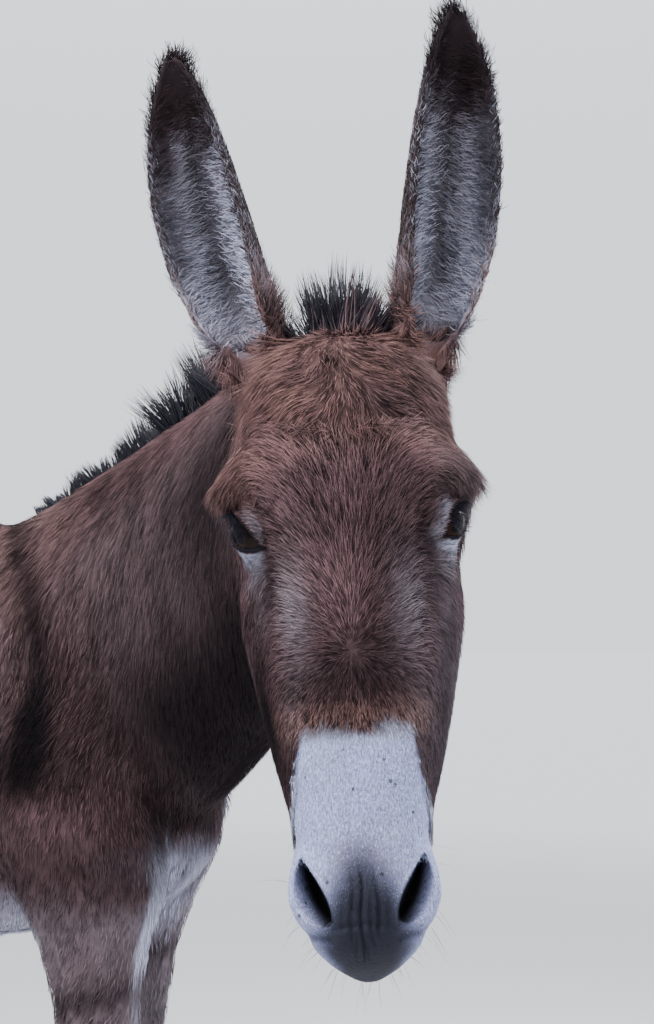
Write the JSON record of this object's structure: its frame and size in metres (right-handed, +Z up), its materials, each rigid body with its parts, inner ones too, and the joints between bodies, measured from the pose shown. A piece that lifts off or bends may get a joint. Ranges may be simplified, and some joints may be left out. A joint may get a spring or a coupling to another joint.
{
  "type": "donkey",
  "caption": "Life-size standing donkey model with its head turned back past the right shoulder, on four flat-soled hooves.",
  "frame": {"origin": "middle of the whole animal's box, at the level of the hooves' soles", "axes": "+Z up, -Y the way the trunk faces, -X the animal's right side"},
  "size_m": [0.751, 1.6542, 1.6092],
  "materials": {
    "coat_brown": "matte",
    "coat_dark": "matte",
    "coat_grey_brown": "matte",
    "coat_pale": "matte",
    "long_hair": "satin",
    "eye": "gloss",
    "horn": "satin"
  },
  "bodies": {
    "root": {"trunk": "coat_brown", "neck": "coat_brown", "head": "coat_brown", "muzzle": "coat_pale", "lower_lip": "coat_pale", "ear_right": "coat_dark", "ear_left": "coat_dark", "foreleg_right": "coat_grey_brown", "foreleg_left": "coat_grey_brown", "hindleg_right": "coat_grey_brown", "hindleg_left": "coat_grey_brown", "tail": "coat_brown", "tail_tassel": "long_hair", "mane": "long_hair", "forelock": "long_hair", "eye_right": "eye", "eye_left": "eye", "forehoof_right": "horn", "forehoof_left": "horn", "hindhoof_right": "horn", "hindhoof_left": "horn"}
  },
  "joints": []
}
